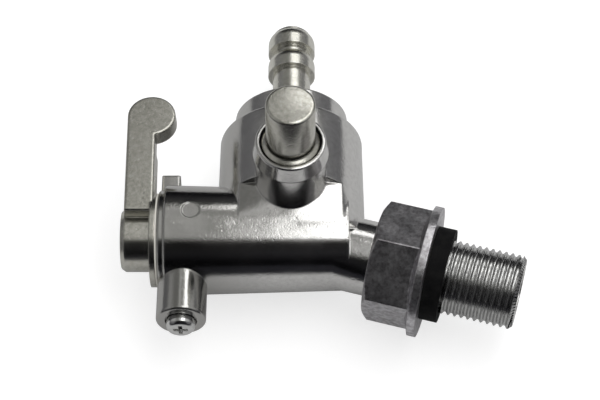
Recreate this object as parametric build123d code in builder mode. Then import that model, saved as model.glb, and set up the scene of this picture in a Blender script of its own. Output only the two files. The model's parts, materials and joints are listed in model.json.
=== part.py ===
from build123d import *
from math import asin, atan2, cos, degrees, hypot, pi, radians, sin, sqrt, tan
import os

# A fuel tap lying on its back: the barrel runs along X, the hose outlet along Y and the
# blanked front port along Z. The origin is where the stud's axis meets the sealing face
# that the tank presses on. Sizes are in millimetres.

# Three axes meet in the middle of the tap, this far from the tank
stud_angle = 15.5
stud_reach = 30.3

# Threaded stud, its neck and its bore
stud_radius = 7.0
neck_radius = 7.1
inlet_radius = 4.0
free_thread = 13.9
thread_lead = 0.7
run_out_width = 1.4
run_out_depth = 0.8
gland_width = 1.0
gland_depth = 0.35

# Flanged lock nut and rubber washer on the stud
washer_radius = 8.9
washer_thickness = 3.3
nut_flange_radius = 12.45
nut_flange_rim = 1.5
nut_flange_slope = 0.9
hex_across_flats = 20.1
hex_height = 8.3
hex_corner_turn = 13.5
hex_chamfer = 0.9
hex_chamfer_angle = 30
thread_clearance = 0.05
neck_gap = 0.1

# Barrel with the valve bore
barrel_radius = 10.5
barrel_end_radius = 9.5
barrel_right = 10.8
barrel_left = 23.7
flange_radius = 9.5
flange_thickness = 1.2
flange_edge = 0.3
bore_depth = 6.0
bore_chamfer = 0.6

# Filter housing on the outlet side
housing_radius = 14.1
housing_draft = 0.25
housing_front = 1.8
housing_end = 22.4
housing_edge = 0.7
chamber_radius = 9.8
chamber_floor = 8.6

# Crowned seat cut into the front of the filter housing
seat_end = 6.0
seat_crown = 11.3
seat_fall = 2.3

# Front port boss and its collar
boss_y = 6.6
boss_radius = 6.6
boss_top = 19.2
collar_radius = 7.0
collar_top = 22.7
collar_edge = 0.4
plug_seat_radius = 6.0
plug_seat_depth = 1.6
plug_radius = 4.0
plug_depth = 11.0
front_port_radius = 1.7

# Boss for the screw that holds the rotor, and the index lug above it
screw_boss_radius = 4.65
screw_boss_end = 17.9
screw_boss_edge = 0.5
lug_width = 3.6
lug_reach = 13.6
lug_half_height = 2.2
lug_edge = 0.4
mark_radius = 1.7
mark_depth = 0.22
mark_x = 18.6

# Rotor
rotor_radius = 6.5
running_clearance = 0.05
rotor_end = 3.5
port_radius = 2.9
rotor_bore_radius = 3.6
rotor_bore_depth = 8.2
lever_turn = 90
stop_groove_depth = 1.5
square_side = 6.0
square_chamfer = 0.5
square_stand = 0.1
seal_section = 1.8
seal_groove_width = 2.2
outer_seal_to_screw = 5.1
inner_seal_x = 6.8

# Lever
lever_gap = 0.4
lever_collar_radius = 8.9
lever_collar = 1.1
hub_radius = 6.0
hub_length = 5.6
hub_edge = 0.8
hub_taper = 35
arm_width = 5.4
arm_start = 1.5
arm_front = 8.3
arm_depth = 5.2
arm_draft = 3
arm_edge = 0.4
knob_radius = 4.6
knob_thickness = 3.2
knob_y = 23.65
knob_lean = 0.4

# Friction washer
friction_washer_thickness = 0.3
friction_washer_inner = 6.9

# M3 retaining screw
screw_radius = 1.5
screw_clearance = 0.02
screw_tip_radius = 1.2
tip_clearance = 0.15
head_radius = 2.7
head_height = 2.2
head_edge = 1.0
head_stand = 1.9
recess_span = 2.7
recess_width = 0.75
recess_depth = 0.9
recess_taper = 10
spring_washer_radius = 2.75
spring_washer_thickness = 0.7
spring_washer_split = 0.5
spot_face_gap = 0.25

# Plug in the front port
pin_radius = 4.5
pin_top = 33.6
pin_edge = 0.25
plug_flange_radius = 5.0
plug_flange_height = 1.2
plug_flange_chamfer = 0.4
plug_length = 8.0
plug_seal_section = 0.95

# Outlet cap, hose nipple and filter
cap_radius = 11.0
cap_height = 6.5
cap_edge = 0.7
cap_spigot = 4.4
cap_roof = 3.0
cap_seal_section = 1.5
nipple_bore = 2.2
nipple_core = 3.75
nipple_shank = 3.4
nipple_press = 2.6
barb_radius = 4.7
barb_land = 2.3
barb_ramp = 2.0
barb_pitch = 5.6
barb_count = 2
nipple_tip = 50.8
tip_rounding = 0.9
tip_straight = 1.2
filter_radius = 6.2
filter_wall = 1.0
filter_gap = 1.8
filter_end = 1.4
filter_ring = 4.0
rib_width = 1.2
rib_count = 4
gauze_thickness = 0.25

# Planes and axes through the middle of the tap
slope = (cos(radians(stud_angle)), -sin(radians(stud_angle)), 0)
middle = (-stud_reach * slope[0], -stud_reach * slope[1], 0)
tap = Plane(origin=middle)
stud = Plane(origin=(0, 0, 0), x_dir=slope, z_dir=(0, 0, 1))
barrel_axis = Axis(middle, (1, 0, 0))
outlet_axis = Axis(middle, (0, 1, 0))
stud_axis = Axis((0, 0, 0), slope)
front = Plane(origin=tap.from_local_coords((0, boss_y, 0)))

# Places along the barrel, to the left of the middle
flange_face = barrel_left + flange_thickness
screw_x = flange_face - screw_boss_radius
outer_seal_x = screw_x - outer_seal_to_screw
collar_face = flange_face + lever_gap
hub_start = collar_face + lever_collar
hub_end = hub_start + hub_length
bore_radius = rotor_radius + running_clearance

# Height of the tapered barrel's crest at the ejector mark
barrel_slope = (barrel_radius - barrel_end_radius) / (barrel_left + barrel_right)
mark_crest = barrel_radius - (barrel_left - mark_x) * barrel_slope

# Places along the stud, back from the tank
nut_face = -washer_thickness
hex_start = nut_face - nut_flange_rim - nut_flange_slope
nut_back = hex_start - hex_height
neck_end = nut_back - neck_gap


def across_barrel(x):
    """Plane square to the barrel at x, its own x along the outlet and z to the lever."""
    return Plane(origin=tap.from_local_coords((x, 0, 0)), x_dir=(0, 1, 0), z_dir=(-1, 0, 0))


def across_outlet(y):
    """Plane square to the outlet at y, facing the hose."""
    return Plane(origin=tap.from_local_coords((0, y, 0)), x_dir=(1, 0, 0), z_dir=(0, 1, 0))


def across_stud(along):
    """Plane square to the stud, facing the tank."""
    return Plane(origin=stud.from_local_coords((along, 0, 0)), x_dir=(0, 0, 1), z_dir=slope)


def under_screw(y):
    """Plane square to the screw boss at y, facing away from the barrel."""
    return Plane(
        origin=tap.from_local_coords((-screw_x, y, 0)), x_dir=(1, 0, 0), z_dir=(0, -1, 0)
    )


def turned(plane, axis, points, arc=360, mode=Mode.ADD):
    """Turn the closed half section through these points about an axis."""
    with BuildSketch(plane) as section:
        with BuildLine():
            Polyline(*points, close=True)
        make_face()
    revolve(section.sketch, axis=axis, revolution_arc=arc, mode=mode)


def ring_seal(plane, radius, section):
    """O-ring of a given centre radius, square to a plane."""
    with BuildPart(plane) as ring:
        Torus(radius, section / 2)
    return ring.part


def keep(piece, name):
    """Label a finished piece and write its file."""
    piece.label = name
    export_step(piece, f"parts/{name}.step")


os.makedirs("parts", exist_ok=True)

# Body: one casting with barrel, filter housing, bosses, neck and stud
with BuildPart() as body:
    # Filter housing
    turned(
        tap,
        outlet_axis,
        [
            (0, -housing_front),
            (housing_radius, -housing_front),
            (housing_radius - housing_draft, housing_end),
            (0, housing_end),
        ],
    )
    fillet(body.edges().filter_by(GeomType.CIRCLE).sort_by(Axis.Y)[-1], housing_edge)
    # Crowned seat round the front port
    with BuildSketch(across_outlet(-housing_front)):
        with BuildLine():
            left = (-housing_radius, seat_fall - seat_crown)
            right = (housing_radius, seat_fall - seat_crown)
            above_left = (-housing_radius, -housing_radius)
            above_right = (housing_radius, -housing_radius)
            ThreePointArc(left, (0, -seat_crown), right)
            Polyline(right, above_right, above_left, left)
        make_face()
    extrude(amount=housing_front + seat_end, mode=Mode.SUBTRACT)
    # Barrel with its end flange
    turned(
        tap,
        barrel_axis,
        [
            (-flange_face, 0),
            (-flange_face, flange_radius - flange_edge),
            (-flange_face + flange_edge, flange_radius),
            (-barrel_left, flange_radius),
            (-barrel_left, barrel_radius - flange_edge),
            (-barrel_left + flange_edge, barrel_radius),
            (barrel_right, barrel_end_radius),
            (barrel_right, 0),
        ],
    )
    # Front boss and its collar
    with BuildSketch(front):
        Circle(boss_radius)
    extrude(amount=boss_top)
    with BuildSketch(front.offset(boss_top)):
        Circle(collar_radius)
    extrude(amount=collar_top - boss_top)
    fillet(body.edges().filter_by(GeomType.CIRCLE).group_by(Axis.Z)[-1], collar_edge)
    # Screw boss
    with BuildSketch(under_screw(0)):
        Circle(screw_boss_radius)
    extrude(amount=screw_boss_end)
    fillet(body.edges().filter_by(GeomType.CIRCLE).sort_by(Axis.Y)[0], screw_boss_edge)
    # Index lug
    with BuildSketch(across_outlet(0)):
        with Locations((-flange_face + lug_width / 2, 0)):
            RectangleRounded(lug_width, 2 * lug_half_height, lug_edge)
    extrude(amount=lug_reach)
    # Neck and stud, with a thread run-out and a groove under the washer
    turned(
        stud,
        stud_axis,
        [
            (-stud_reach, 0),
            (-stud_reach, neck_radius),
            (neck_end, neck_radius),
            (neck_end, stud_radius - run_out_depth),
            (neck_end + run_out_width, stud_radius - run_out_depth),
            (neck_end + run_out_width, stud_radius),
            (-gland_width, stud_radius),
            (-gland_width, stud_radius - gland_depth),
            (0, stud_radius - gland_depth),
            (0, stud_radius),
            (free_thread - thread_lead, stud_radius),
            (free_thread, stud_radius - thread_lead),
            (free_thread, 0),
        ],
    )
    # Valve bore, open at the lever end
    turned(
        tap,
        barrel_axis,
        [
            (-flange_face, 0),
            (-flange_face, bore_radius + bore_chamfer),
            (-flange_face + bore_chamfer, bore_radius),
            (bore_depth, bore_radius),
            (bore_depth, 0),
        ],
        mode=Mode.SUBTRACT,
    )
    # Inlet through the stud
    with BuildSketch(across_stud(free_thread)):
        Circle(inlet_radius)
    extrude(amount=-(free_thread + stud_reach - bore_depth / 2), mode=Mode.SUBTRACT)
    # Passage from the rotor to the filter chamber
    with BuildSketch(across_outlet(0)):
        Circle(port_radius)
    extrude(amount=housing_end, mode=Mode.SUBTRACT)
    with BuildSketch(across_outlet(chamber_floor)):
        Circle(chamber_radius)
    extrude(amount=housing_end - chamber_floor, mode=Mode.SUBTRACT)
    # Front port with the seat of its plug
    with BuildSketch(front.offset(collar_top)):
        Circle(plug_seat_radius)
    extrude(amount=-plug_seat_depth, mode=Mode.SUBTRACT)
    with BuildSketch(front.offset(plug_depth)):
        Circle(plug_radius)
    extrude(amount=collar_top - plug_depth, mode=Mode.SUBTRACT)
    with BuildSketch(front):
        Circle(front_port_radius)
    extrude(amount=collar_top, mode=Mode.SUBTRACT)
    # Tapped hole and spot face for the screw
    head_under = screw_boss_end + head_stand - head_height
    spot_face = head_under - spring_washer_thickness
    with BuildSketch(under_screw(-screw_boss_end)):
        Circle(head_radius + spot_face_gap)
    extrude(amount=-(screw_boss_end - spot_face), mode=Mode.SUBTRACT)
    with BuildSketch(under_screw(0)):
        Circle(screw_radius + screw_clearance)
    extrude(amount=screw_boss_end, mode=Mode.SUBTRACT)
    # Ejector mark on the crest of the barrel
    with BuildSketch(Plane(origin=tap.from_local_coords((-mark_x, 0, mark_crest)))):
        Circle(mark_radius)
    extrude(amount=-mark_depth, both=True, mode=Mode.SUBTRACT)
keep(body.part, "body")

# Lever: arm, knob, hub and collar cast in one, with a square hole for the rotor
arm_left = -hub_end + hub_edge
arm_foot = (arm_left, arm_start)
knob_centre = (arm_left + knob_radius - knob_lean, knob_y)
to_knob = (knob_centre[0] - arm_foot[0], knob_centre[1] - arm_foot[1])
reach = hypot(*to_knob)
lean = atan2(to_knob[1], to_knob[0]) + asin(knob_radius / reach)
flank = sqrt(reach**2 - knob_radius**2)
arm_top = (arm_foot[0] + flank * cos(lean), arm_foot[1] + flank * sin(lean))
with BuildPart() as lever:
    # Arm and knob, whose left flanks run into each other
    with BuildSketch(tap.offset(arm_front)):
        with BuildLine():
            Polyline(
                arm_foot,
                arm_top,
                knob_centre,
                (arm_top[0] + arm_width, knob_y),
                (arm_left + arm_width, arm_start),
                close=True,
            )
        make_face()
        with Locations(knob_centre):
            Circle(knob_radius)
    extrude(amount=-arm_depth, taper=-arm_draft)
    fillet(lever.faces().sort_by(Axis.Z)[-1].edges(), arm_edge)
    with BuildSketch(tap.offset(arm_front - knob_thickness)):
        with Locations((arm_left + knob_radius, knob_y)):
            Rectangle(4 * knob_radius, 2 * knob_radius + arm_width)
    extrude(amount=-arm_depth, mode=Mode.SUBTRACT)
    # Collar and hub
    with BuildSketch(across_barrel(-collar_face)):
        Circle(lever_collar_radius)
    extrude(amount=lever_collar)
    with BuildSketch(across_barrel(-hub_start)):
        Circle(hub_radius)
    extrude(amount=hub_length - hub_edge)
    with BuildSketch(across_barrel(-hub_end + hub_edge)):
        Circle(hub_radius)
    extrude(amount=hub_edge, taper=hub_taper)
    with BuildSketch(across_barrel(-collar_face)):
        Rectangle(square_side, square_side)
    extrude(amount=lever_collar + hub_length, mode=Mode.SUBTRACT)
keep(lever.part, "lever")

# Rotor: turned spindle with seal grooves, a stop groove and a port into its bore
tip_floor = rotor_radius - stop_groove_depth
stop_margin = degrees(asin((screw_tip_radius + tip_clearance) / tip_floor))
stop_half_width = screw_tip_radius + tip_clearance
with BuildPart() as rotor:
    turned(
        tap,
        barrel_axis,
        [
            (-collar_face, 0),
            (-collar_face, rotor_radius),
            (rotor_end, rotor_radius),
            (rotor_end, 0),
        ],
    )
    with BuildSketch(across_barrel(-collar_face)):
        Rectangle(square_side, square_side)
    extrude(amount=lever_collar + hub_length + square_stand)
    chamfer(rotor.faces().sort_by(Axis.X)[0].edges(), square_chamfer)
    for seal_x in (outer_seal_x, inner_seal_x):
        left = -seal_x - seal_groove_width / 2
        turned(
            tap,
            barrel_axis,
            [
                (left, rotor_radius - seal_section),
                (left, rotor_radius + seal_section),
                (left + seal_groove_width, rotor_radius + seal_section),
                (left + seal_groove_width, rotor_radius - seal_section),
            ],
            mode=Mode.SUBTRACT,
        )
    # Stop groove: as long as the lever's turn, and the width of the screw's tip more
    first_side = Vector(0, 1, 0).rotate(Axis.X, 180 - lever_turn - stop_margin)
    groove_start = Plane(
        origin=middle, x_dir=(1, 0, 0), z_dir=Vector(1, 0, 0).cross(first_side)
    )
    with BuildSketch(groove_start):
        with Locations((-screw_x, tip_floor + stop_groove_depth)):
            Rectangle(2 * stop_half_width, 2 * stop_groove_depth)
    revolve(
        axis=barrel_axis,
        revolution_arc=lever_turn + 2 * stop_margin,
        mode=Mode.SUBTRACT,
    )
    with BuildSketch(across_barrel(rotor_end)):
        Circle(rotor_bore_radius)
    extrude(amount=rotor_bore_depth, mode=Mode.SUBTRACT)
    with BuildSketch(across_outlet(0)):
        Circle(port_radius)
    extrude(amount=rotor_radius, mode=Mode.SUBTRACT)
keep(rotor.part, "rotor")

# O-rings on the rotor
seal_radius = rotor_radius - seal_section / 2
keep(ring_seal(across_barrel(-outer_seal_x), seal_radius, seal_section), "outer_rotor_seal")
keep(ring_seal(across_barrel(-inner_seal_x), seal_radius, seal_section), "inner_rotor_seal")

# Friction washer between the lever and the barrel's flange
with BuildPart() as friction_washer:
    with BuildSketch(across_barrel(-collar_face)):
        Circle(lever_collar_radius)
        Circle(friction_washer_inner, mode=Mode.SUBTRACT)
    extrude(amount=-friction_washer_thickness)
keep(friction_washer.part, "friction_washer")

# Retaining screw: pan head with a cross recess, shank and dog point
head_face = screw_boss_end + head_stand
tip_end = tip_floor + running_clearance
shank_end = bore_radius + tip_clearance
with BuildPart() as retaining_screw:
    with BuildSketch(under_screw(-head_under)):
        Circle(head_radius)
    extrude(amount=head_height)
    fillet(retaining_screw.edges().sort_by(Axis.Y)[0], head_edge)
    with BuildSketch(under_screw(-tip_end)):
        Circle(screw_tip_radius)
    extrude(amount=head_under - tip_end)
    with BuildSketch(under_screw(-shank_end)):
        Circle(screw_radius)
    extrude(amount=head_under - shank_end)
    with BuildSketch(under_screw(-head_face)):
        Rectangle(recess_span, recess_width)
        Rectangle(recess_width, recess_span)
    extrude(amount=-recess_depth, taper=recess_taper, mode=Mode.SUBTRACT)
keep(retaining_screw.part, "retaining_screw")

# Split spring washer under the screw's head
with BuildPart() as spring_washer:
    with BuildSketch(under_screw(-spot_face)):
        Circle(spring_washer_radius)
        Circle(screw_radius + screw_clearance, mode=Mode.SUBTRACT)
        with Locations((spring_washer_radius, 0)):
            Rectangle(2 * spring_washer_radius, spring_washer_split, mode=Mode.SUBTRACT)
    extrude(amount=spring_washer_thickness)
keep(spring_washer.part, "spring_washer")

# Blanking plug of the front port, with its long pin
plug_seat = collar_top - plug_seat_depth
plug_flange_top = plug_seat + plug_flange_height
with BuildPart() as blanking_plug:
    with BuildSketch(front.offset(plug_seat - plug_length)):
        Circle(plug_radius)
    extrude(amount=plug_length)
    with BuildSketch(front.offset(plug_seat)):
        Circle(plug_flange_radius)
    extrude(amount=plug_flange_height)
    chamfer(
        blanking_plug.edges().filter_by(GeomType.CIRCLE).sort_by(Axis.Z)[-1],
        plug_flange_chamfer,
    )
    with BuildSketch(front.offset(plug_flange_top)):
        Circle(pin_radius)
    extrude(amount=pin_top - plug_flange_top)
    chamfer(blanking_plug.edges().filter_by(GeomType.CIRCLE).sort_by(Axis.Z)[-1], pin_edge)
keep(blanking_plug.part, "blanking_plug")

plug_seal_radius = (plug_flange_radius + plug_seat_radius) / 2
plug_seal_height = plug_seat + plug_seal_section / 2
keep(
    ring_seal(front.offset(plug_seal_height), plug_seal_radius, plug_seal_section),
    "blanking_plug_seal",
)

# Outlet cap pressed into the mouth of the filter housing
cap_top = housing_end + cap_height
cap_floor = housing_end - cap_spigot
groove_y = housing_end - cap_spigot / 2
with BuildPart() as outlet_cap:
    turned(
        tap,
        outlet_axis,
        [
            (0, cap_floor),
            (chamber_radius, cap_floor),
            (chamber_radius, groove_y - cap_seal_section / 2),
            (chamber_radius - cap_seal_section, groove_y - cap_seal_section / 2),
            (chamber_radius - cap_seal_section, groove_y + cap_seal_section / 2),
            (chamber_radius, groove_y + cap_seal_section / 2),
            (chamber_radius, housing_end),
            (cap_radius, housing_end),
            (cap_radius, cap_top - cap_edge),
            (cap_radius - cap_edge, cap_top),
            (0, cap_top),
        ],
    )
    with BuildSketch(across_outlet(cap_floor)):
        Circle(filter_radius)
    extrude(amount=cap_top - cap_roof - cap_floor, mode=Mode.SUBTRACT)
    with BuildSketch(across_outlet(cap_top)):
        Circle(nipple_shank)
    extrude(amount=-cap_roof, mode=Mode.SUBTRACT)
keep(outlet_cap.part, "outlet_cap")

cap_seal_radius = chamber_radius - cap_seal_section / 2
keep(ring_seal(across_outlet(groove_y), cap_seal_radius, cap_seal_section), "outlet_cap_seal")

# Hose nipple pressed into the cap, with barbs that point back at the cap
nipple_start = cap_top - nipple_press
first_barb = nipple_tip - tip_straight - barb_ramp - barb_land
with BuildPart() as hose_nipple:
    turned(
        tap,
        outlet_axis,
        [
            (nipple_bore, nipple_start),
            (nipple_shank, nipple_start),
            (nipple_shank, cap_top),
            (nipple_core, cap_top),
            (nipple_core, nipple_tip - tip_rounding),
            (nipple_core - tip_rounding, nipple_tip),
            (nipple_bore, nipple_tip),
        ],
    )
    for barb in range(barb_count):
        shoulder = first_barb - barb * barb_pitch
        with BuildSketch(tap) as ridge:
            with BuildLine():
                crest = (barb_radius, shoulder + barb_land)
                foot = (nipple_core, shoulder + barb_land + barb_ramp)
                foot_inside = (nipple_shank, foot[1])
                shoulder_inside = (nipple_shank, shoulder)
                Polyline(foot, foot_inside, shoulder_inside, (barb_radius, shoulder), crest)
                TangentArc(crest, foot, tangent=(0, 1))
            make_face()
        revolve(ridge.sketch, axis=outlet_axis)
keep(hose_nipple.part, "hose_nipple")

# Filter: a closed foot, ribs and a ring that sits in the cap, round a tube of gauze
filter_start = chamber_floor + filter_gap
ring_start = cap_floor - filter_end
ring_end = ring_start + filter_ring
gauze_radius = filter_radius - filter_wall
with BuildPart() as filter_frame:
    with BuildSketch(across_outlet(filter_start)):
        Circle(filter_radius)
    extrude(amount=filter_end)
    with BuildSketch(across_outlet(ring_start)):
        Circle(filter_radius)
        Circle(gauze_radius, mode=Mode.SUBTRACT)
    extrude(amount=ring_end - ring_start)
    with BuildSketch(across_outlet(filter_start + filter_end)):
        with PolarLocations(0, rib_count):
            with Locations((filter_radius / 2, 0)):
                Rectangle(filter_radius, rib_width)
        Circle(filter_radius, mode=Mode.INTERSECT)
        Circle(gauze_radius, mode=Mode.SUBTRACT)
    extrude(amount=ring_start - filter_start - filter_end)
keep(filter_frame.part, "filter_frame")

with BuildPart() as filter_gauze:
    with BuildSketch(across_outlet(filter_start + filter_end)):
        Circle(gauze_radius)
        Circle(gauze_radius - gauze_thickness, mode=Mode.SUBTRACT)
    extrude(amount=ring_end - filter_start - filter_end)
keep(filter_gauze.part, "filter_gauze")

# Lock nut: hexagon with a chamfered end, and a sloped flange towards the washer
hex_corner = hex_across_flats / 2 / cos(pi / 6)
nut_bore = stud_radius + thread_clearance
with BuildPart() as lock_nut:
    with BuildSketch(across_stud(nut_back)):
        RegularPolygon(hex_corner, 6, rotation=hex_corner_turn)
    extrude(amount=nut_face - nut_back)
    turned(
        stud,
        stud_axis,
        [
            (nut_back, nut_bore),
            (nut_back, hex_corner - hex_chamfer / tan(radians(hex_chamfer_angle))),
            (nut_back + hex_chamfer, hex_corner),
            (nut_face, hex_corner),
            (nut_face, nut_bore),
        ],
        mode=Mode.INTERSECT,
    )
    turned(
        stud,
        stud_axis,
        [
            (hex_start, nut_bore),
            (hex_start, hex_across_flats / 2),
            (hex_start + nut_flange_slope, nut_flange_radius),
            (nut_face, nut_flange_radius),
            (nut_face, nut_bore),
        ],
    )
keep(lock_nut.part, "lock_nut")

# Rubber sealing washer between the nut and the tank
with BuildPart() as sealing_washer:
    with BuildSketch(across_stud(nut_face)):
        Circle(washer_radius)
        Circle(nut_bore, mode=Mode.SUBTRACT)
    extrude(amount=washer_thickness)
keep(sealing_washer.part, "sealing_washer")
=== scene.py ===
import json
from math import cos, hypot, pi, radians, sin, sqrt

import bmesh
import bpy
from mathutils import Matrix, Vector


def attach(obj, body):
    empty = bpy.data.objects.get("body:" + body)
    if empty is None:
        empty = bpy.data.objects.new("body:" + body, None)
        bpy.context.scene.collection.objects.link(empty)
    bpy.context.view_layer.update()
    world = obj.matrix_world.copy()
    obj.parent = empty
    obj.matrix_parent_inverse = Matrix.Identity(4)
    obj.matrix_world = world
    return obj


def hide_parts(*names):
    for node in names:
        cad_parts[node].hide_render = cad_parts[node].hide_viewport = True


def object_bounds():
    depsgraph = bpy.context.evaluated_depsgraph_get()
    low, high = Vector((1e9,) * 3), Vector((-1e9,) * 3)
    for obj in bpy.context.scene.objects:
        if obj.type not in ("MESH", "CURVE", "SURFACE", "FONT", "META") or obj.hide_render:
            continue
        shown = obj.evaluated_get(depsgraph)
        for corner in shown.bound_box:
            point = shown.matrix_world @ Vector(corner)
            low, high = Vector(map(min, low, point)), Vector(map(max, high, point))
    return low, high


# Looks of a plated fuel tap that lies on its back. Sizes are in metres in the part's frame:
# +X along the barrel to the stud, +Y along the hose outlet, +Z out of the front port.

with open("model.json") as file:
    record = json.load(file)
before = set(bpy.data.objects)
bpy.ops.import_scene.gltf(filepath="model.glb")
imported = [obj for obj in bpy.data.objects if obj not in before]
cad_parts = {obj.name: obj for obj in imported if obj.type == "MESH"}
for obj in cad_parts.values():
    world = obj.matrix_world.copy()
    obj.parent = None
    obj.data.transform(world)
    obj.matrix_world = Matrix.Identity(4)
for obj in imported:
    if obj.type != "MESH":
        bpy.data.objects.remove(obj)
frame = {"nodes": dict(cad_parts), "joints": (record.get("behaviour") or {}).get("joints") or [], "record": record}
cad_low, cad_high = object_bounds()
nodes = frame["nodes"]
mounts = {mount["name"]: mount for mount in frame["record"]["mounts"]}
joints = {joint["name"]: joint for joint in frame["joints"]}
middle = Vector(joints["lever_turn"]["pos_m"])

MM = 0.001

# Vertices closer than this are one. Names that end in near are other tolerances
weld = 0.0001 * MM

# A face looks along an axis when its normal has more than this along it
facing = 0.9

# Edges that turn by more than this stay hard
hard_edge = radians(22)

# Thread of the stud, along the stud's axis from the washer's sealing face
stud_axis = Vector(mounts["tank_thread"]["axis"]).normalized()
stud_side = stud_axis.cross(Vector((0, 0, 1))).normalized()
to_stud = Matrix((stud_axis, stud_side, stud_side.cross(stud_axis)))
from_stud = to_stud.inverted()
stud_radius = mounts["tank_thread"]["dims"]["r_mm"] * MM
thread_pitch = 1.25 * MM
thread_depth = 0.5 * MM
thread_lead = 0.7 * MM
thread_start = -12.7 * MM
thread_fade = 1.0 * MM
stud_length = mounts["tank_thread"]["dims"]["length_mm"] * MM + thread_lead
gland_radius = 6.65 * MM
gland_width = 1.0 * MM
crest_share = 1 / 6
root_share = 1 / 4
rows_per_pitch = 20
thread_segments = 128
stud_near = 0.05 * MM

# Cast blend between the barrel and the crowned seat round the front port, from the valve's middle
seat_front = -1.8 * MM
seat_back = 6.0 * MM
seat_crown = 11.3 * MM
seat_arc = 44.37 * MM
seat_half_width = 9.8 * MM
seat_grid = 0.7 * MM
seat_near = 0.02 * MM
side_start = 9.6 * MM
side_near = 0.06 * MM
housing_radius = 14.1 * MM
wall_foot = 9.2 * MM
crest_limit = 10.0 * MM
crest_slope = 0.3
blend_length = 4.0 * MM
blend_levels = 7
blend_power = 1.5
refine_rounds = 3

# Collar of the front port, whose wall has a draft and whose inner lip is rolled in over the seal
port_axis = middle + Vector((0, 6.6, 0)) * MM
collar_top = 22.7 * MM
collar_fillet = 0.4 * MM
collar_inner = 6.0 * MM
collar_draft = 0.5 * MM
lip_roll = 0.25 * MM
rim_near = 0.01 * MM
lip_near = 0.1 * MM

# Plug of the front port as rings of (radius, height above the barrel's axis) in millimetres
plug_radius = 4.0
plug_inner_end = 13.1
flange_radius = 5.0
flange_start = 21.1
flange_crown_start = 21.75
flange_crown = [
    (5.1, 22.05), (5.28, 22.12), (5.36, 22.2), (5.32, 22.3),
    (5.15, 22.42), (4.85, 22.62), (4.6, 22.76), (4.52, 22.84),
]
pin_radius = 4.5
pin_start = 22.95
pin_edge_start = 33.15
pin_edge = [(4.44, 33.3), (4.2, 33.52), (4.08, 33.58), (3.95, 33.6)]
pin_top = 33.6
plug_profile = [
    (0, plug_inner_end), (plug_radius, plug_inner_end), (plug_radius, flange_start),
    (flange_radius, flange_start), (flange_radius, flange_crown_start), *flange_crown,
    (pin_radius, pin_start), (pin_radius, pin_edge_start), *pin_edge, (0, pin_top),
]
plug_segments = 96

# Unevenness of the metals: sizes in millimetres or as shares of the grain, and the band of each
# noise that shows
patch_mm = 5.0
patch_band = (0.35, 0.65)
wave_mm = 6.0
speck_share = 2.2
speck_band = (0.36, 0.66)
pit_share = 2.5
pit_band = (0.62, 0.70)
soft_edge_samples = 6

# Coarse cast skin, and painted shade that darkens the lever end's colour: along X, where that of the lever end
# ends and where the neck's begins
coarse_mm = 0.45
coarse_skin_and_shade_left = (-44 * MM, -32 * MM)
coarse_neck = (-19.5 * MM, -17.5 * MM)
coarse_neck_share = 1.6
# Painted shade: the darker colour of the lever end, standing in for its darker reflections
painted_end_shade = (0.45, 0.445, 0.43)

# Floor, which darkens towards the front in reflections, as a dark room in front would make it
floor_size = 12
floor_colour = (0.5, 0.5, 0.5)
floor_dark = (0.02, 0.02, 0.024)
floor_camera_glow = 1.3
floor_mirror_glow = 0.1
floor_fade = (-58 * MM, -40 * MM)

# Room that only reflections see: brightness by degrees from straight up, less than zero being
# the front, how it fades down and to the left, and its pale walls at the far left and right
room_radius = 2.0
room_front = (0.03, 0.03, 0.035, 1)
room_back = (0.06, 0.062, 0.075, 1)
room_levels = ((-38, 0.015), (-29, 0.36), (20, 0.36), (30, 0.33), (46, 0.36), (52, 0.06))
room_warmth = 0.96
room_rise = (room_radius * sin(radians(12)), room_radius * sin(radians(30)))
room_low_share = 0.15
room_left = (-0.3, 0.1)
room_left_share = 0.62
room_walls = (0.9, 1.3)
room_wall_glow = 0.16
room_wall_colour = (0.97, 0.97, 1.0, 1)

# White surroundings, and their share for the rays that light the tap
sky_colour = (1, 1, 1, 1)
sky_light_share = 0.7

# Camera, as in the photograph
camera_elevation = radians(55)
camera_distance = 353 * MM
camera_target = Vector((-27.49, 14.39, 4.41)) * MM
camera_lens = 111.6
camera_sensor = 36
camera_range = (0.01, 20)


# Shader helpers
def new_material(name):
    """An empty node material, with its tree and its output."""
    material = bpy.data.materials.new(name)
    material.use_nodes = True
    tree = material.node_tree
    tree.nodes.clear()
    output = tree.nodes.new("ShaderNodeOutputMaterial")
    return material, tree, output


def own_place(tree):
    """The outputs X, Y and Z of a point's place in the piece's own space."""
    place = tree.nodes.new("ShaderNodeTexCoord")
    parts = tree.nodes.new("ShaderNodeSeparateXYZ")
    tree.links.new(place.outputs["Object"], parts.inputs["Vector"])
    return parts.outputs


def noise(tree, scale_mm, detail=4.0, roughness=0.5):
    """Noise whose grain is about scale_mm across, in the piece's own space."""
    place = tree.nodes.new("ShaderNodeTexCoord")
    texture = tree.nodes.new("ShaderNodeTexNoise")
    texture.inputs["Scale"].default_value = 1 / (scale_mm * MM)
    texture.inputs["Detail"].default_value = detail
    texture.inputs["Roughness"].default_value = roughness
    tree.links.new(place.outputs["Object"], texture.inputs["Vector"])
    return texture.outputs["Fac"]


def spread(tree, value, source, target):
    """Map a value from one range to another, and hold it there."""
    node = tree.nodes.new("ShaderNodeMapRange")
    node.inputs["From Min"].default_value, node.inputs["From Max"].default_value = source
    node.inputs["To Min"].default_value, node.inputs["To Max"].default_value = target
    tree.links.new(value, node.inputs["Value"])
    return node.outputs["Result"]


def math_node(tree, operation, *values):
    """Combine one or two values."""
    node = tree.nodes.new("ShaderNodeMath")
    node.operation = operation
    for value, socket in zip(values, node.inputs):
        tree.links.new(value, socket)
    return node.outputs[0]


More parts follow.
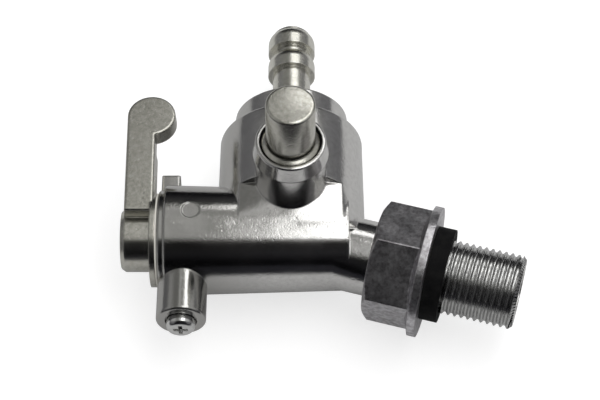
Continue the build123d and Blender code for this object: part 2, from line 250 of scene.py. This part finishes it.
def mix_colours(tree, factor, first, second):
    """Blend two colours by a factor."""
    node = tree.nodes.new("ShaderNodeMix")
    node.data_type = "RGBA"
    tree.links.new(factor, node.inputs["Factor"])
    sockets = {socket.name: socket for socket in node.inputs if socket.type == "RGBA"}
    for name, colour in (("A", first), ("B", second)):
        if isinstance(colour, tuple):
            sockets[name].default_value = (*colour, 1)
        else:
            tree.links.new(colour, sockets[name])
    return next(socket for socket in node.outputs if socket.type == "RGBA")


def bumps(tree, layers, soft_edge_mm=0.0):
    """Stack bump layers of (height, depth in mm) into one normal, over softened edges."""
    normal = None
    if soft_edge_mm:
        edges = tree.nodes.new("ShaderNodeBevel")
        edges.samples = soft_edge_samples
        edges.inputs["Radius"].default_value = soft_edge_mm * MM
        normal = edges.outputs["Normal"]
    for height, depth_mm in layers:
        node = tree.nodes.new("ShaderNodeBump")
        node.inputs["Distance"].default_value = depth_mm * MM
        tree.links.new(height, node.inputs["Height"])
        if normal is not None:
            tree.links.new(normal, node.inputs["Normal"])
        normal = node.outputs["Normal"]
    return normal


def glow(tree, colour, strength):
    """Light that a surface gives off. The colour is an output or a constant."""
    shader = tree.nodes.new("ShaderNodeEmission")
    if isinstance(colour, tuple):
        shader.inputs["Color"].default_value = colour
    else:
        tree.links.new(colour, shader.inputs["Color"])
    tree.links.new(strength, shader.inputs["Strength"])
    return shader.outputs["Emission"]


def add_shaders(tree, first, second):
    """Both shaders' light together."""
    node = tree.nodes.new("ShaderNodeAddShader")
    tree.links.new(first, node.inputs[0])
    tree.links.new(second, node.inputs[1])
    return node.outputs["Shader"]


def ray_level(tree, levels):
    """The level that belongs to the kind of ray that looks, from a row of (kind, level)."""
    rays = tree.nodes.new("ShaderNodeLightPath")
    highest = None
    for kind, level in levels:
        share = spread(tree, rays.outputs[f"Is {kind} Ray"], (0, 1), (0, level))
        highest = share if highest is None else math_node(tree, "MAXIMUM", highest, share)
    return highest


# Materials
def metal(
    name, colour, shade, roughness, grain_mm, grain_depth,
    wave_depth=0.0, pit_depth=0.0, soft_edge_mm=0.0, coarse_depth=0.0,
):
    """Plated metal: cast or formed grain, slow waves, patches of finish and small pits, and a
    coarser cast skin at the lever end and on the neck where coarse_depth is given, with painted
    shade that darkens the lever end."""
    material, tree, output = new_material(name)
    shader = tree.nodes.new("ShaderNodeBsdfPrincipled")
    shader.inputs["Metallic"].default_value = 1.0
    patches = noise(tree, patch_mm, detail=3.0)
    grain = noise(tree, grain_mm, detail=3.0, roughness=0.65)
    specks = noise(tree, grain_mm * speck_share, detail=4.0, roughness=0.6)
    shown = mix_colours(tree, spread(tree, specks, speck_band, (0, 1)), colour, shade)
    layers = [(grain, grain_depth)]
    if wave_depth:
        layers.append((noise(tree, wave_mm, detail=1.0), wave_depth))
    if pit_depth:
        pits = spread(tree, noise(tree, grain_mm * pit_share, detail=2.0), pit_band, (1, 0))
        layers.append((pits, pit_depth))
    if coarse_depth:
        along = own_place(tree)["X"]
        left = spread(tree, along, coarse_skin_and_shade_left, (1, 0))
        neck = spread(tree, along, coarse_neck, (0, coarse_neck_share))
        share = math_node(tree, "ADD", left, neck)
        coarse = math_node(tree, "MULTIPLY", noise(tree, coarse_mm, detail=2.0), share)
        layers.append((coarse, coarse_depth))
        # Painted shade: the lever end's colour is darkened to stand in for its darker reflections
        shown = mix_colours(tree, left, shown, painted_end_shade)
    tree.links.new(shown, shader.inputs["Base Color"])
    tree.links.new(spread(tree, patches, patch_band, roughness), shader.inputs["Roughness"])
    tree.links.new(bumps(tree, layers, soft_edge_mm), shader.inputs["Normal"])
    tree.links.new(shader.outputs["BSDF"], output.inputs["Surface"])
    return material


def moulded(
    name, colour, shade, cloud_mm, cloud_band, roughness, grain_mm, grain_depth, specular=0.5
):
    """Moulded rubber or plastic: matte, with a fine grain and faint clouds of a second colour."""
    material, tree, output = new_material(name)
    shader = tree.nodes.new("ShaderNodeBsdfPrincipled")
    clouds = spread(tree, noise(tree, cloud_mm), cloud_band, (0, 1))
    tree.links.new(mix_colours(tree, clouds, colour, shade), shader.inputs["Base Color"])
    shader.inputs["Roughness"].default_value = roughness
    shader.inputs["Specular IOR Level"].default_value = specular
    normal = bumps(tree, [(noise(tree, grain_mm), grain_depth)])
    tree.links.new(normal, shader.inputs["Normal"])
    tree.links.new(shader.outputs["BSDF"], output.inputs["Surface"])
    return material


finish_of_slot = {
    "plated_casting": metal(
        "nickel_plating", colour=(0.70, 0.69, 0.68), shade=(0.60, 0.595, 0.58),
        roughness=(0.12, 0.18), grain_mm=0.4, grain_depth=0.007,
        wave_depth=0.008, pit_depth=0.006, soft_edge_mm=0.45, coarse_depth=0.012,
    ),
    "plated_lever": metal(
        "satin_plating", colour=(0.62, 0.61, 0.56), shade=(0.5, 0.49, 0.44),
        roughness=(0.2, 0.26), grain_mm=0.35, grain_depth=0.009,
        wave_depth=0.008, pit_depth=0.008, soft_edge_mm=0.4,
    ),
    "plated_nipple": metal(
        "turned_plating", colour=(0.80, 0.79, 0.73), shade=(0.68, 0.67, 0.61),
        roughness=(0.2, 0.28), grain_mm=0.3, grain_depth=0.01,
        wave_depth=0.006, soft_edge_mm=0.2,
    ),
    "zinc_nut": metal(
        "zinc_plating", colour=(0.7, 0.69, 0.71), shade=(0.34, 0.325, 0.34),
        roughness=(0.28, 0.37), grain_mm=0.4, grain_depth=0.02,
        wave_depth=0.012, pit_depth=0.01, soft_edge_mm=0.3,
    ),
    "plated_steel": metal(
        "bright_steel", colour=(0.74, 0.74, 0.73), shade=(0.64, 0.64, 0.63),
        roughness=(0.12, 0.18), grain_mm=0.25, grain_depth=0.01,
        wave_depth=0.006, soft_edge_mm=0.12,
    ),
    "machined_brass": metal(
        "turned_brass", colour=(0.78, 0.58, 0.27), shade=(0.68, 0.48, 0.2),
        roughness=(0.22, 0.34), grain_mm=0.3, grain_depth=0.01,
        wave_depth=0.02, soft_edge_mm=0.15,
    ),
    "filter_mesh": metal(
        "steel_gauze", colour=(0.6, 0.6, 0.58), shade=(0.5, 0.5, 0.48),
        roughness=(0.3, 0.45), grain_mm=0.2, grain_depth=0.04,
    ),
    "black_rubber": moulded(
        "nitrile", colour=(0.003, 0.003, 0.0035), shade=(0.008, 0.0078, 0.0075),
        cloud_mm=2.0, cloud_band=(0.4, 0.75), roughness=0.7, grain_mm=0.25, grain_depth=0.02,
        specular=0.12,
    ),
    "plain_plastic": moulded(
        "acetal", colour=(0.74, 0.72, 0.66), shade=(0.68, 0.66, 0.6),
        cloud_mm=3.0, cloud_band=(0.35, 0.7), roughness=0.42, grain_mm=0.3, grain_depth=0.01,
    ),
}
thread_finish = metal(
    "cut_thread", colour=(0.56, 0.56, 0.55), shade=(0.44, 0.44, 0.44),
    roughness=(0.18, 0.26), grain_mm=0.3, grain_depth=0.008, soft_edge_mm=0.08,
)

for subpart in frame["record"]["subparts"]:
    piece = nodes[subpart["node"]]
    piece.data.materials.clear()
    piece.data.materials.append(finish_of_slot[subpart["material_slot"]])


# Mesh helpers
def unique(items):
    """The items once each, in the order of their first use."""
    return list(dict.fromkeys(items))


def edges_of(faces):
    """The edges of faces."""
    return unique(edge for face in faces for edge in face.edges)


def verts_of(items):
    """The vertices of faces or edges."""
    return unique(vert for item in items for vert in item.verts)


def circle(count):
    """Angles of even steps round a circle."""
    return [2 * pi * step / count for step in range(count)]


def turned(ring):
    """A ring that starts one place further on."""
    return ring[1:] + ring[:1]


def open_edges(bm):
    """How many edges don't join two faces."""
    return sum(1 for edge in bm.edges if len(edge.link_faces) != 2)


def new_piece(name, mesh):
    """A linked object that shows a mesh."""
    piece = bpy.data.objects.new(name, mesh)
    bpy.context.scene.collection.objects.link(piece)
    return piece


# Blend of the crowned seat
def from_middle(vert):
    """A vertex's place from the valve's middle."""
    return vert.co - middle


def seat_height(x):
    """Height of the crowned seat above the barrel's axis."""
    return seat_crown - seat_arc + sqrt(seat_arc**2 - x**2)


def crest_height(crest, x):
    """Height at x of the barrel's crest, a row of (x, height) points."""
    for (x0, z0), (x1, z1) in zip(crest, crest[1:]):
        if x0 <= x <= x1:
            return z0 + (z1 - z0) * (x - x0) / max(x1 - x0, weld)
    return crest[0][1] if x < crest[0][0] else crest[-1][1]


def blend_share(y):
    """How much of the way down to the crest the blend goes: 1 at its front, 0 at its back."""
    return (1 - min(1.0, max(0.0, (y - seat_front) / blend_length))) ** blend_power


def seat_faces(bm):
    """Faces of the crowned seat."""
    return [face for face in bm.faces if on_seat(face)]


def on_seat(face):
    """Whether a face lies on the crowned seat."""
    return face.normal.z > facing and all(
        seat_front - seat_near < spot.y < seat_back + seat_near
        and abs(spot.x) < seat_half_width
        and abs(spot.z - seat_height(spot.x)) < 2 * seat_near
        for spot in map(from_middle, face.verts)
    )


def side_faces(bm):
    """Faces of the housing's round sides beside the seat."""
    return [face for face in bm.faces if all(map(on_side, face.verts))]


def on_side(vert):
    """Whether a vertex lies on the housing's round side, above the barrel's flank."""
    spot = from_middle(vert)
    round_wall = abs(hypot(spot.x, spot.z) - housing_radius) < side_near
    return round_wall and abs(spot.x) > side_start and spot.z > wall_foot


def on_front_wall(face):
    """Whether a face belongs to the step between the seat and the barrel's crest."""
    return face.normal.y < -facing and all(
        abs(spot.y - seat_front) < seat_near and spot.z > wall_foot
        for spot in map(from_middle, face.verts)
    )


def on_crest(edge):
    """Whether an edge lies along the barrel's crest rather than round the housing's side."""
    start, end = map(from_middle, edge.verts)
    level = abs(start.z - end.z) < crest_slope * abs(start.x - end.x)
    return level and max(start.z, end.z) < crest_limit


def cut_sides(bm):
    """Cut the housing's sides at even steps of the blend, so that they can follow it."""
    for step in range(1, blend_levels + 1):
        level = middle.y + seat_front + step * blend_length / blend_levels
        faces = side_faces(bm)
        bmesh.ops.bisect_plane(
            bm,
            geom=[*faces, *edges_of(faces), *verts_of(faces)],
            dist=weld,
            plane_co=(0, level, 0),
            plane_no=(0, 1, 0),
        )


def split_corners(bm, faces, most):
    """Divide the faces that have more corners than most into triangles."""
    bmesh.ops.triangulate(bm, faces=[face for face in faces if len(face.verts) > most])


def refine_seat(bm):
    """Divide the seat into even triangles no longer than its grid."""
    for length in (4 * seat_grid, 2 * seat_grid, seat_grid):
        for _ in range(refine_rounds):
            edges = [edge for edge in edges_of(seat_faces(bm)) if edge.calc_length() > length]
            bmesh.ops.subdivide_edges(bm, edges=edges, cuts=1)
            split_corners(bm, seat_faces(bm), 3)
            faces = seat_faces(bm)
            inner = [edge for edge in edges_of(faces) if all(map(on_seat, edge.link_faces))]
            bmesh.ops.beautify_fill(bm, faces=faces, edges=inner)


def divide(edges, marks):
    """Split edges along X at the marks that fall inside them. Each new vertex takes its mark's
    place."""
    gap = seat_near / 5
    pieces = list(edges)
    for mark in marks:
        for edge in pieces:
            low, high = sorted(vert.co.x for vert in edge.verts)
            if low + gap < mark.x < high - gap:
                start, end = edge.verts
                share = (mark.x - start.co.x) / (end.co.x - start.co.x)
                part, vert = bmesh.utils.edge_split(edge, start, share)
                vert.co = mark
                pieces.append(part)
                break
    return pieces


def join_edges(bm, upper, lower):
    """Close the slit between two rows of edges that lie on one line."""
    upper_marks = [vert.co.copy() for vert in verts_of(upper)]
    lower_marks = [vert.co.copy() for vert in verts_of(lower)]
    seam = divide(upper, lower_marks) + divide(lower, upper_marks)
    bmesh.ops.remove_doubles(bm, verts=verts_of(seam), dist=seat_near / 3)


def blend_seat(bm):
    """Lower the front of the seat in a smooth slope that runs into the barrel's crest, in place
    of the step between them."""
    cut_sides(bm)
    refine_seat(bm)
    seat = set(verts_of(seat_faces(bm)))
    split_corners(bm, side_faces(bm), 4)
    side = [vert for vert in verts_of(side_faces(bm)) if vert not in seat]

    wall = [face for face in bm.faces if on_front_wall(face)]
    rim = [edge for edge in edges_of(wall) if any(face not in wall for face in edge.link_faces)]
    bmesh.ops.delete(bm, geom=wall, context="FACES")
    lower = [edge for edge in rim if on_crest(edge) and seat.isdisjoint(edge.verts)]
    upper = [edge for edge in rim if edge not in lower]
    crest = sorted({(spot.x, spot.z) for spot in map(from_middle, verts_of(lower))})

    for vert in seat:
        spot = from_middle(vert)
        top = seat_height(spot.x)
        vert.co.z = middle.z + top + (crest_height(crest, spot.x) - top) * blend_share(spot.y)
    for vert in side:
        spot = from_middle(vert)
        vert.co.z += min(0.0, crest_height(crest, spot.x) - spot.z) * blend_share(spot.y)
    for vert in verts_of(upper):
        vert.co.z = middle.z + crest_height(crest, from_middle(vert).x)
    join_edges(bm, upper, lower)


# Body with its thread
def shape_collar(bm):
    """Give the collar's wall its draft and roll its inner lip in over the seal."""
    for vert in bm.verts:
        out = vert.co - port_axis
        height = out.z
        out.z = 0
        at_rim = height > collar_top - collar_fillet - rim_near
        if at_rim and out.length > collar_inner - lip_near:
            step = collar_draft if out.length > collar_inner + lip_near else lip_roll
            vert.co -= out.normalized() * step


def thread_radius(along, angle):
    """Radius of the threaded wall: a flat crest and root with 60 degree flanks, right-hand."""
    share = (along / thread_pitch - angle / (2 * pi)) % 1.0
    from_crest = abs(share - 0.5) * 2
    flank = (from_crest - crest_share) / (1 - crest_share - root_share)
    cut = thread_depth * min(1.0, max(0.0, flank))
    cut *= min(1.0, max(0.0, (along - thread_start) / thread_fade))
    radius = stud_radius - cut
    if -gland_width < along < 0:
        radius = min(radius, gland_radius)
    lead_start = stud_length - thread_lead
    return min(radius, stud_radius - max(0.0, along - lead_start))


def station(vert):
    """How far along the stud's axis a vertex is, and how far from it."""
    spot = to_stud @ vert.co
    return spot.x, hypot(spot.y, spot.z)


def on_stud_wall(face):
    """Whether a face is on the stud's plain wall, which the thread takes the place of."""
    stations = [station(vert) for vert in face.verts]
    inside = all(
        thread_start - stud_near < along < stud_length + stud_near
        and stud_radius - thread_depth - stud_near < radius < stud_radius + stud_near
        for along, radius in stations
    )
    flat_start = all(abs(along - thread_start) < stud_near for along, radius in stations)
    flat_end = all(abs(along - stud_length) < stud_near for along, radius in stations)
    return inside and not flat_start and not flat_end


def thread_row(bm, along):
    """A ring of vertices on the threaded wall."""
    row = []
    for angle in circle(thread_segments):
        radius = thread_radius(along, angle)
        spot = Vector((along, radius * cos(angle), radius * sin(angle)))
        row.append(bm.verts.new(from_stud @ spot))
    return row


def ring_edges(bm, row):
    """The edges that join a ring of vertices."""
    return [bm.edges.get(pair) for pair in zip(row, turned(row))]


def cut_thread(bm):
    """Put the thread in the place of the stud's plain wall, joined edge to edge."""
    wall = [face for face in bm.faces if on_stud_wall(face)]
    bmesh.ops.delete(bm, geom=wall, context="FACES")
    rim = [edge for edge in bm.edges if len(edge.link_faces) == 1]
    start_loop = [edge for edge in rim if station(edge.verts[0])[0] < 0]
    end_loop = [edge for edge in rim if station(edge.verts[0])[0] > 0]

    row_step = thread_pitch / rows_per_pitch
    first = thread_start + row_step
    last = stud_length - row_step / 4
    steps = round((last - first) / row_step)
    rows = [thread_row(bm, first + (last - first) * step / steps) for step in range(steps + 1)]
    for low, high in zip(rows, rows[1:]):
        for corners in zip(low, turned(low), turned(high), high):
            bm.faces.new(corners).material_index = 1
    bmesh.ops.bridge_loops(bm, edges=start_loop + ring_edges(bm, rows[0]))
    bmesh.ops.bridge_loops(bm, edges=end_loop + ring_edges(bm, rows[-1]))


def threaded_body():
    """A copy of the body with its thread, the blend of its seat and the shape of its collar."""
    mesh = nodes["body"].data.copy()
    piece = new_piece("body_threaded", mesh)
    mesh.attributes.remove(mesh.attributes["custom_normal"])
    bm = bmesh.new()
    bm.from_mesh(mesh)
    bmesh.ops.remove_doubles(bm, verts=bm.verts, dist=weld)
    blend_seat(bm)
    shape_collar(bm)
    cut_thread(bm)
    bmesh.ops.recalc_face_normals(bm, faces=bm.faces)
    print("body_threaded:", open_edges(bm), "open edges")
    bm.to_mesh(mesh)
    bm.free()
    mesh.update()
    mesh.materials.append(thread_finish)
    return piece


body = threaded_body()
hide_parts("body")
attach(body, "root")


# Plug of the front port
def dressed_plug():
    """The plug with the crowned flange that covers part of its seal, and a softened pin end."""
    mesh = bpy.data.meshes.new("blanking_plug_dressed")
    bm = bmesh.new()
    outward = [Vector((cos(angle), sin(angle), 0)) for angle in circle(plug_segments)]
    rings = []
    for radius, height in plug_profile:
        base = port_axis + Vector((0, 0, height * MM))
        if radius:
            rings.append([bm.verts.new(base + way * radius * MM) for way in outward])
        else:
            rings.append([bm.verts.new(base)] * plug_segments)
    for low, high in zip(rings, rings[1:]):
        for corners in zip(low, turned(low), turned(high), high):
            bm.faces.new(unique(corners))
    bmesh.ops.recalc_face_normals(bm, faces=bm.faces)
    bm.to_mesh(mesh)
    bm.free()
    mesh.materials.append(finish_of_slot["plated_lever"])
    return new_piece("blanking_plug_dressed", mesh)


plug = dressed_plug()
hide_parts("blanking_plug")
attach(plug, "root")

for piece in (body, plug):
    for polygon in piece.data.polygons:
        polygon.use_smooth = True
    piece.data.set_sharp_from_angle(angle=hard_edge)


# Floor
centre = (cad_low + cad_high) / 2
ground = (centre.x, centre.y, cad_low.z)


def floor_material():
    """Pale floor that glows to camera, mirror and glass rays, so that it is white round the
    shadow in the picture, and that darkens towards the front in reflections."""
    material, tree, output = new_material("floor")
    rays = tree.nodes.new("ShaderNodeLightPath")
    front_of_barrel = middle.y - centre.y
    fade = tuple(front_of_barrel + y for y in floor_fade)
    front = spread(tree, own_place(tree)["Y"], fade, (1, 0))
    dark = math_node(tree, "MULTIPLY", front, rays.outputs["Is Glossy Ray"])
    shade = mix_colours(tree, dark, floor_colour, floor_dark)
    diffuse = tree.nodes.new("ShaderNodeBsdfDiffuse")
    tree.links.new(shade, diffuse.inputs["Color"])
    strength = ray_level(tree, (
        ("Camera", floor_camera_glow), ("Glossy", floor_mirror_glow),
        ("Transmission", floor_mirror_glow),
    ))
    total = add_shaders(tree, diffuse.outputs["BSDF"], glow(tree, shade, strength))
    tree.links.new(total, output.inputs["Surface"])
    return material


def plain_floor():
    """A level square under the tap."""
    mesh = bpy.data.meshes.new("floor")
    half = floor_size / 2
    corners = [(-half, -half, 0), (half, -half, 0), (half, half, 0), (-half, half, 0)]
    mesh.from_pydata(corners, [], [(0, 1, 2, 3)])
    mesh.materials.append(floor_material())
    thing = new_piece("floor", mesh)
    thing.location = ground
    return thing


floor = plain_floor()


# Room round the table
def room_material():
    """Glow of the room: bands from front to back, dimmer low down and to the left, and pale
    walls at the far left and right."""
    material, tree, output = new_material("surround")
    place = own_place(tree)
    ramp = tree.nodes.new("ShaderNodeValToRGB")
    first, last = ramp.color_ramp.elements
    first.position, first.color = 0.0, room_front
    last.position, last.color = 1.0, room_back
    for angle, level in room_levels:
        stop = ramp.color_ramp.elements.new(0.5 + angle / 180)
        stop.color = (level, level, level * room_warmth, 1)
    tilt = math_node(tree, "ARCTAN2", place["Y"], place["Z"])
    tree.links.new(spread(tree, tilt, (-pi / 2, pi / 2), (0, 1)), ramp.inputs["Fac"])
    height = spread(tree, place["Z"], room_rise, (room_low_share, 1))
    side = spread(tree, place["X"], room_left, (room_left_share, 1))
    bands = glow(tree, ramp.outputs["Color"], math_node(tree, "MULTIPLY", height, side))
    outward = math_node(tree, "ABSOLUTE", place["X"])
    wall_level = spread(tree, outward, room_walls, (0, room_wall_glow))
    walls = glow(tree, room_wall_colour, wall_level)
    tree.links.new(add_shaders(tree, bands, walls), output.inputs["Surface"])
    return material


def surround():
    """Half sphere over the table, seen only in reflections."""
    mesh = bpy.data.meshes.new("surround")
    bm = bmesh.new()
    bmesh.ops.create_icosphere(bm, subdivisions=5, radius=room_radius)
    bmesh.ops.bisect_plane(
        bm,
        geom=[*bm.verts, *bm.edges, *bm.faces],
        plane_co=(0, 0, 0),
        plane_no=(0, 0, -1),
        clear_outer=True,
    )
    bm.to_mesh(mesh)
    bm.free()
    mesh.materials.append(room_material())
    thing = new_piece("surround", mesh)
    thing.location = ground
    thing.visible_camera = False
    thing.visible_diffuse = False
    thing.visible_shadow = False
    thing.visible_transmission = False
    return thing


room = surround()


# Lamps
def softbox(name, place, aim, size, radiance):
    """Rectangular lamp of a given brightness, aimed at a point."""
    data = bpy.data.lights.new(name, "AREA")
    data.shape = "RECTANGLE"
    data.size, data.size_y = size
    data.energy = radiance * pi * data.size * data.size_y
    lamp = new_piece(name, data)
    lamp.location = place
    lamp.rotation_euler = (Vector(place) - Vector(aim)).to_track_quat("Z", "Y").to_euler()


softbox(
    "overhead", place=(0.101, -0.03, 0.4), aim=(0.101, -0.03, 0), size=(0.218, 0.37), radiance=2.0
)
softbox(
    "overhead_back", place=(0.13, 0.23, 0.4), aim=(0.13, 0.23, 0), size=(0.16, 0.15), radiance=1.5
)
softbox(
    "overhead_left", place=(-0.085, 0.06, 0.4), aim=(-0.085, 0.06, 0), size=(0.065, 0.54),
    radiance=0.32,
)
softbox(
    "back", place=(0.045, 0.36, 0.4), aim=(0.045, 0.045, 0), size=(0.17, 0.11), radiance=1.45
)
softbox(
    "back_right", place=(0.2, 0.36, 0.44), aim=(-0.02, 0.01, 0.01), size=(0.12, 0.24),
    radiance=1.4,
)


# Surroundings
def studio():
    """White world, dimmer for the rays that only light the tap."""
    world = bpy.data.worlds.new("studio")
    world.use_nodes = True
    tree = world.node_tree
    tree.nodes.clear()
    sky = tree.nodes.new("ShaderNodeBackground")
    sky.inputs["Color"].default_value = sky_colour
    seen = ray_level(tree, (("Camera", 1), ("Glossy", 1), ("Transmission", 1)))
    tree.links.new(spread(tree, seen, (0, 1), (sky_light_share, 1)), sky.inputs["Strength"])
    output = tree.nodes.new("ShaderNodeOutputWorld")
    tree.links.new(sky.outputs["Background"], output.inputs["Surface"])
    return world


bpy.context.scene.world = studio()


# Camera
def photo_camera():
    """A camera at the photograph's viewing angle."""
    data = bpy.data.cameras.new("camera")
    data.lens = camera_lens
    data.sensor_width = camera_sensor
    data.clip_start, data.clip_end = camera_range
    camera = new_piece("camera", data)
    towards = Vector((0, -cos(camera_elevation), sin(camera_elevation)))
    camera.location = camera_target + towards * camera_distance
    camera.rotation_euler = towards.to_track_quat("Z", "Y").to_euler()
    return camera


bpy.context.scene.camera = photo_camera()
bpy.context.scene.view_settings.view_transform = "Standard"
